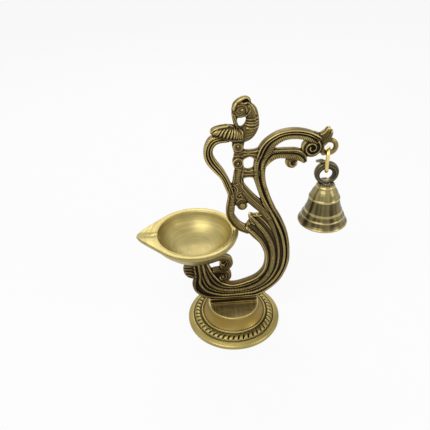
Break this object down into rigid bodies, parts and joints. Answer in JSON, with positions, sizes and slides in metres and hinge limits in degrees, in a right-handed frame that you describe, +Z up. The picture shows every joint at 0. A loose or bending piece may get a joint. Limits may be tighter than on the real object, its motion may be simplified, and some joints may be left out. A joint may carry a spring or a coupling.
{
  "type": "oil lamp",
  "caption": "Brass oil lamp on a turned base: a flat S-scroll casting with a peacock carries a spouted oil bowl and a hanging bell with a clapper.",
  "frame": {"origin": "on the table, at the middle of the bounding box in X and Y, which is midway between the spout tip and the far edge of the bell", "axes": "+Z up; +X along the flat casting from the bowl's spout towards the bell; +Y from the front face of the casting to its back face"},
  "size_m": [0.1554, 0.075, 0.1905],
  "materials": {
    "satin_brass": "turned and satin polished",
    "antique_brass": "cast, dark patina in the recesses, rubbed bright on the ribs",
    "bell_brass": "turned, dark antique patina with bright ring edges",
    "bright_brass": "drawn wire and turned hardware, polished"
  },
  "bodies": {
    "stand": {"base_foot": "satin_brass", "base_washer": "bright_brass", "base_screw": "bright_brass", "stand_frame": "antique_brass", "bowl_stud": "bright_brass", "oil_bowl": "satin_brass"},
    "link": {"bell_link": "bright_brass"},
    "bell": {"bell_body": "bell_brass", "clapper_staple": "bright_brass"},
    "clapper": {"clapper_rod": "bright_brass", "clapper_ball": "bright_brass"}
  },
  "joints": [
    {"name": "link_swing", "type": "hinge", "parent": "stand", "child": "link", "pos_m": [0.05905, 0, 0.1466], "axis": [1, 0, 0], "range_deg": [-35, 35]},
    {"name": "bell_swing", "type": "hinge", "parent": "link", "child": "bell", "pos_m": [0.05905, 0, 0.13315], "axis": [0, 1, 0], "range_deg": [-30, 16]},
    {"name": "clapper_swing", "type": "hinge", "parent": "bell", "child": "clapper", "pos_m": [0.05975, 0, 0.1131], "axis": [0, 1, 0], "range_deg": [-32, 32]}
  ]
}
